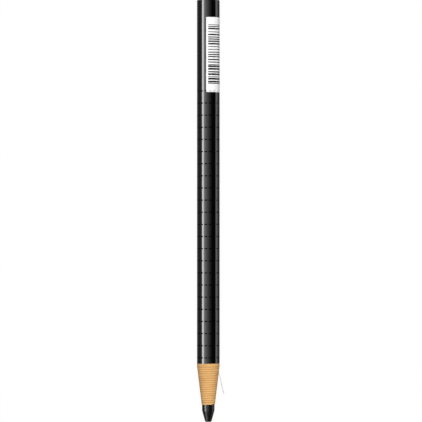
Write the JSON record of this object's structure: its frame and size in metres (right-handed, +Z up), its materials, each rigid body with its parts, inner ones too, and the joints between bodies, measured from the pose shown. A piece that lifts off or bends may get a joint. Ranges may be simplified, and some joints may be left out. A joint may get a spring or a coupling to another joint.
{
  "type": "china marker",
  "caption": "Peel-off grease pencil lying on its side: black wax core in a wound kraft paper wrap, lacquered black, slit into tear-off rings, with a stepped paper cone and a pull string.",
  "frame": {"origin": "on the table under the middle of the marker's length", "axes": "+Z up, +Y along the marker from the tip to the blunt end, +X to the side where the string leaves"},
  "size_m": [0.0115, 0.1778, 0.0095],
  "materials": {
    "wax": "satin black wax",
    "lacquered_paper": "gloss black lacquer over wound kraft paper",
    "kraft_paper": "bare kraft paper",
    "thread": "twisted white cotton"
  },
  "bodies": {
    "barrel": {"wax_core": "wax", "tail_section": "lacquered_paper", "pull_string": "thread"},
    "section_01": {"peel_section_01": "lacquered_paper"},
    "section_02": {"peel_section_02": "lacquered_paper"},
    "section_03": {"peel_section_03": "lacquered_paper"},
    "section_04": {"peel_section_04": "lacquered_paper"},
    "section_05": {"peel_section_05": "lacquered_paper"},
    "section_06": {"peel_section_06": "lacquered_paper"},
    "section_07": {"peel_section_07": "lacquered_paper"},
    "section_08": {"peel_section_08": "lacquered_paper"},
    "section_09": {"peel_section_09": "lacquered_paper"},
    "section_10": {"peel_section_10": "lacquered_paper"},
    "section_11": {"peel_section_11": "lacquered_paper"},
    "section_12": {"peel_section_12": "lacquered_paper"},
    "section_13": {"peel_section_13": "lacquered_paper"},
    "section_14": {"peel_section_14": "lacquered_paper"},
    "section_15": {"peel_section_15": "lacquered_paper"},
    "section_16": {"peel_section_16": "lacquered_paper"},
    "section_17": {"peel_section_17": "lacquered_paper"},
    "section_18": {"peel_section_18": "lacquered_paper"},
    "section_19": {"peel_section_19": "lacquered_paper"},
    "section_20": {"peel_section_20": "lacquered_paper"},
    "section_21": {"peel_section_21": "lacquered_paper"},
    "section_22": {"peel_section_22": "lacquered_paper"},
    "nose": {"nose_section": "kraft_paper", "pull_string_lead": "thread"},
    "string_tail": {"pull_string_tail": "thread"}
  },
  "joints": [
    {"name": "peel_22", "type": "slide", "parent": "barrel", "child": "section_22", "axis": [0, -1, 0], "range_m": [0, 0.14137]},
    {"name": "peel_21", "type": "slide", "parent": "section_22", "child": "section_21", "axis": [0, -1, 0], "range_m": [0, 0.13627]},
    {"name": "peel_20", "type": "slide", "parent": "section_21", "child": "section_20", "axis": [0, -1, 0], "range_m": [0, 0.13117]},
    {"name": "peel_19", "type": "slide", "parent": "section_20", "child": "section_19", "axis": [0, -1, 0], "range_m": [0, 0.12607]},
    {"name": "peel_18", "type": "slide", "parent": "section_19", "child": "section_18", "axis": [0, -1, 0], "range_m": [0, 0.12097]},
    {"name": "peel_17", "type": "slide", "parent": "section_18", "child": "section_17", "axis": [0, -1, 0], "range_m": [0, 0.11587]},
    {"name": "peel_16", "type": "slide", "parent": "section_17", "child": "section_16", "axis": [0, -1, 0], "range_m": [0, 0.11077]},
    {"name": "peel_15", "type": "slide", "parent": "section_16", "child": "section_15", "axis": [0, -1, 0], "range_m": [0, 0.10567]},
    {"name": "peel_14", "type": "slide", "parent": "section_15", "child": "section_14", "axis": [0, -1, 0], "range_m": [0, 0.10057]},
    {"name": "peel_13", "type": "slide", "parent": "section_14", "child": "section_13", "axis": [0, -1, 0], "range_m": [0, 0.09547]},
    {"name": "peel_12", "type": "slide", "parent": "section_13", "child": "section_12", "axis": [0, -1, 0], "range_m": [0, 0.09037]},
    {"name": "peel_11", "type": "slide", "parent": "section_12", "child": "section_11", "axis": [0, -1, 0], "range_m": [0, 0.08527]},
    {"name": "peel_10", "type": "slide", "parent": "section_11", "child": "section_10", "axis": [0, -1, 0], "range_m": [0, 0.08017]},
    {"name": "peel_09", "type": "slide", "parent": "section_10", "child": "section_09", "axis": [0, -1, 0], "range_m": [0, 0.07507]},
    {"name": "peel_08", "type": "slide", "parent": "section_09", "child": "section_08", "axis": [0, -1, 0], "range_m": [0, 0.06997]},
    {"name": "peel_07", "type": "slide", "parent": "section_08", "child": "section_07", "axis": [0, -1, 0], "range_m": [0, 0.06487]},
    {"name": "peel_06", "type": "slide", "parent": "section_07", "child": "section_06", "axis": [0, -1, 0], "range_m": [0, 0.05977]},
    {"name": "peel_05", "type": "slide", "parent": "section_06", "child": "section_05", "axis": [0, -1, 0], "range_m": [0, 0.05467]},
    {"name": "peel_04", "type": "slide", "parent": "section_05", "child": "section_04", "axis": [0, -1, 0], "range_m": [0, 0.04957]},
    {"name": "peel_03", "type": "slide", "parent": "section_04", "child": "section_03", "axis": [0, -1, 0], "range_m": [0, 0.04447]},
    {"name": "peel_02", "type": "slide", "parent": "section_03", "child": "section_02", "axis": [0, -1, 0], "range_m": [0, 0.03937]},
    {"name": "peel_01", "type": "slide", "parent": "section_02", "child": "section_01", "axis": [0, -1, 0], "range_m": [0, 0.03427]},
    {"name": "peel_nose", "type": "slide", "parent": "section_01", "child": "nose", "axis": [0, -1, 0], "range_m": [0, 0.02917]},
    {"name": "string_swing", "type": "hinge", "parent": "nose", "child": "string_tail", "pos_m": [0.00429, -0.06787, 0.00484], "axis": [0, 0, 1], "range_deg": [-8, 120]}
  ]
}
